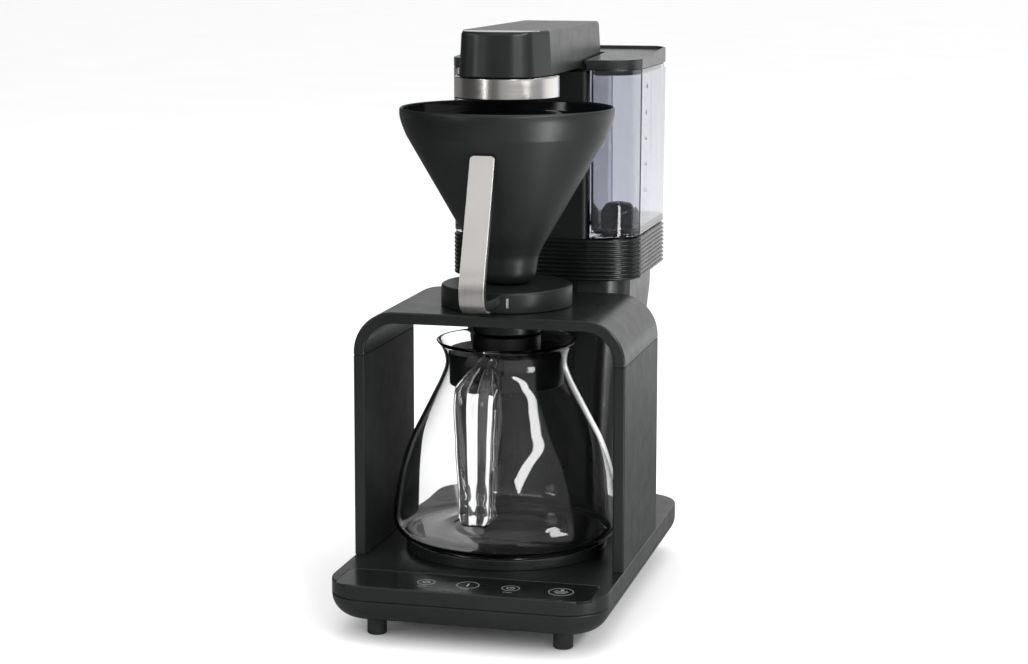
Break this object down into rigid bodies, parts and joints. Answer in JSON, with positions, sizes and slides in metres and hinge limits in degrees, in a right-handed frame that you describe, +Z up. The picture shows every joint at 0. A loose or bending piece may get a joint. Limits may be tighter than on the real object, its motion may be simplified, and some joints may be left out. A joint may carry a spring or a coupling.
{
  "type": "pour-over coffee brewer",
  "caption": "Pour-over coffee brewer: glass jug under an arch, filter cone with handle, overhead spout arm and clear water tank on a ribbed tower.",
  "frame": {"origin": "on the floor, under the centre of the whole brewer's box", "axes": "+Z up, -Y towards the user (touch panel side), +X to the user's right when facing the front"},
  "size_m": [0.21, 0.387, 0.4434],
  "materials": {
    "matte_black": "fine-grained matt moulding",
    "gloss_black": "polished",
    "satin_steel": "satin, brushed",
    "bright_steel": "bright drawn",
    "dark_metal": "oxidised",
    "brass": "machined",
    "rubber": "matt",
    "silicone": "translucent matt",
    "clear_glass": "clear blown glass",
    "smoky_plastic": "clear smoky moulding",
    "board_green": "solder resist",
    "mark_grey": "pad-printed insert"
  },
  "bodies": {
    "frame": {"base_tray": "matte_black", "base_plate": "matte_black", "touch_panel": "gloss_black", "touch_board": "board_green", "tray_screw_1": "bright_steel", "tray_screw_2": "bright_steel", "tray_screw_3": "bright_steel", "tray_screw_4": "bright_steel", "foot_front_left": "rubber", "foot_front_right": "rubber", "foot_rear_left": "rubber", "foot_rear_right": "rubber", "warming_plate": "gloss_black", "warming_plate_ring": "matte_black", "plate_heater": "dark_metal", "cable_gland": "rubber", "arch_left_leg": "matte_black", "arch_right_leg": "matte_black", "arch_bridge": "matte_black", "outlet_housing": "matte_black", "drip_retainer": "matte_black", "drip_seal": "silicone", "neck_shell": "matte_black", "rear_cover": "matte_black", "ribbed_collar": "matte_black", "column_cover": "matte_black", "arm_shell": "matte_black", "arm_underplate": "matte_black", "spout_ring": "satin_steel", "spout_motor": "dark_metal", "flow_heater": "bright_steel", "heater_bracket": "dark_metal", "thermal_fuse": "silicone", "pump": "matte_black", "riser_tube": "silicone", "supply_hose": "silicone", "control_board": "board_green"},
    "drip_stop": {"drip_plunger": "matte_black", "drip_spring": "bright_steel"},
    "filter_holder": {"cone_shell": "matte_black", "filter_liner": "gloss_black", "filter_drum": "matte_black", "drum_mark": "mark_grey", "handle_core": "matte_black", "handle_strip": "satin_steel"},
    "jug": {"jug_glass": "clear_glass", "jug_handle": "clear_glass"},
    "jug_lid": {"jug_lid": "matte_black"},
    "tank": {"water_tank": "smoky_plastic", "tank_valve_cage": "matte_black"},
    "tank_lid": {"tank_lid": "matte_black", "lid_seal": "rubber", "lid_hinge_pin": "bright_steel"},
    "tank_valve": {"tank_valve_poppet": "matte_black", "tank_valve_spring": "bright_steel"},
    "spout": {"spout_rotor": "matte_black"},
    "pinion": {"motor_pinion": "brass"}
  },
  "joints": [
    {"name": "jug_out", "type": "slide", "parent": "frame", "child": "jug", "axis": [0, -1, 0], "range_m": [0, 0.2]},
    {"name": "lid_twist", "type": "hinge", "parent": "jug", "child": "jug_lid", "pos_m": [0, -0.0515, 0.196], "axis": [0, 0, 1], "range_deg": [0, 90]},
    {"name": "holder_out", "type": "slide", "parent": "frame", "child": "filter_holder", "axis": [0, -1, 0], "range_m": [0, 0.2]},
    {"name": "drip_stop_lift", "type": "slide", "parent": "frame", "child": "drip_stop", "axis": [0, 0, 1], "range_m": [0, 0.005], "stiffness_N_per_m": 150, "deforming": ["drip_spring"]},
    {"name": "tank_lift", "type": "slide", "parent": "frame", "child": "tank", "axis": [0, 0, 1], "range_m": [0, 0.16]},
    {"name": "tank_lid_hinge", "type": "hinge", "parent": "tank", "child": "tank_lid", "pos_m": [0, 0.1875, 0.412], "axis": [-1, 0, 0], "range_deg": [0, 80]},
    {"name": "tank_valve_lift", "type": "slide", "parent": "tank", "child": "tank_valve", "axis": [0, 0, 1], "range_m": [0, 0.003], "stiffness_N_per_m": 150, "deforming": ["tank_valve_spring"]},
    {"name": "spout_spin", "type": "hinge", "parent": "frame", "child": "spout", "pos_m": [0, -0.0515, 0.4], "axis": [0, 0, 1], "continuous": true},
    {"name": "pinion_spin", "type": "hinge", "parent": "frame", "child": "pinion", "pos_m": [0, -0.0227, 0.417], "axis": [0, 0, 1], "continuous": true}
  ],
  "couplings": [
    {"joint": "pinion_spin", "follows": "spout_spin", "ratio": -3}
  ]
}
